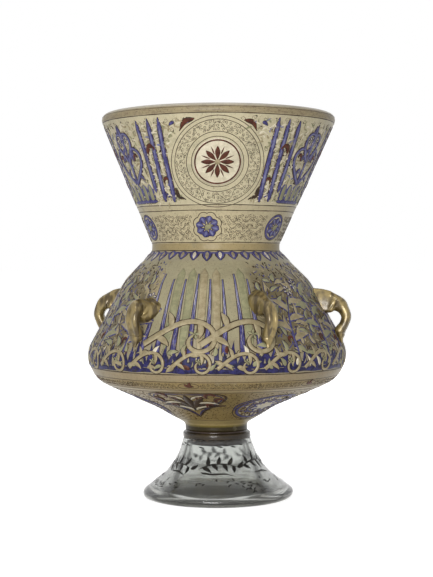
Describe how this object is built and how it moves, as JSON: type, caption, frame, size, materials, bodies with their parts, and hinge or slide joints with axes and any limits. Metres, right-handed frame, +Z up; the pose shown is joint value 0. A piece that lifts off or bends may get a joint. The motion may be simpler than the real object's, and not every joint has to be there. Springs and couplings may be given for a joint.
{
  "type": "hanging glass oil lamp",
  "caption": "Enamelled blown-glass hanging lamp with a flared neck, wide angular body with looped chain handles, clear trumpet foot and a lift-out oil cup with wick.",
  "frame": {"origin": "centre of the resting ring under the foot", "axes": "+Z up along the lamp's axis, -Y towards the viewer, +X to the viewer's right"},
  "size_m": [0.239, 0.2385, 0.35],
  "materials": {
    "honey_glass": "honey-coloured blown glass with worn gilding and enamel",
    "join_glass": "olive glass, smooth",
    "clear_glass": "clear greyish glass",
    "gilded_glass": "honey glass with worn gilding",
    "cup_glass": "clear glass",
    "bronze": "aged bronze sheet",
    "cotton": "twisted cotton"
  },
  "bodies": {
    "lamp": {"vessel": "honey_glass", "join_wad": "join_glass", "join_collar": "join_glass", "foot": "clear_glass", "handle_1": "gilded_glass", "handle_2": "gilded_glass", "handle_3": "gilded_glass", "handle_4": "gilded_glass", "handle_5": "gilded_glass", "handle_6": "gilded_glass"},
    "oil_light": {"oil_cup": "cup_glass", "wick_holder": "bronze", "wick": "cotton"}
  },
  "joints": [
    {"name": "oil_cup_lift", "type": "slide", "parent": "lamp", "child": "oil_light", "axis": [0, 0, 1], "range_m": [0, 0.29]}
  ]
}
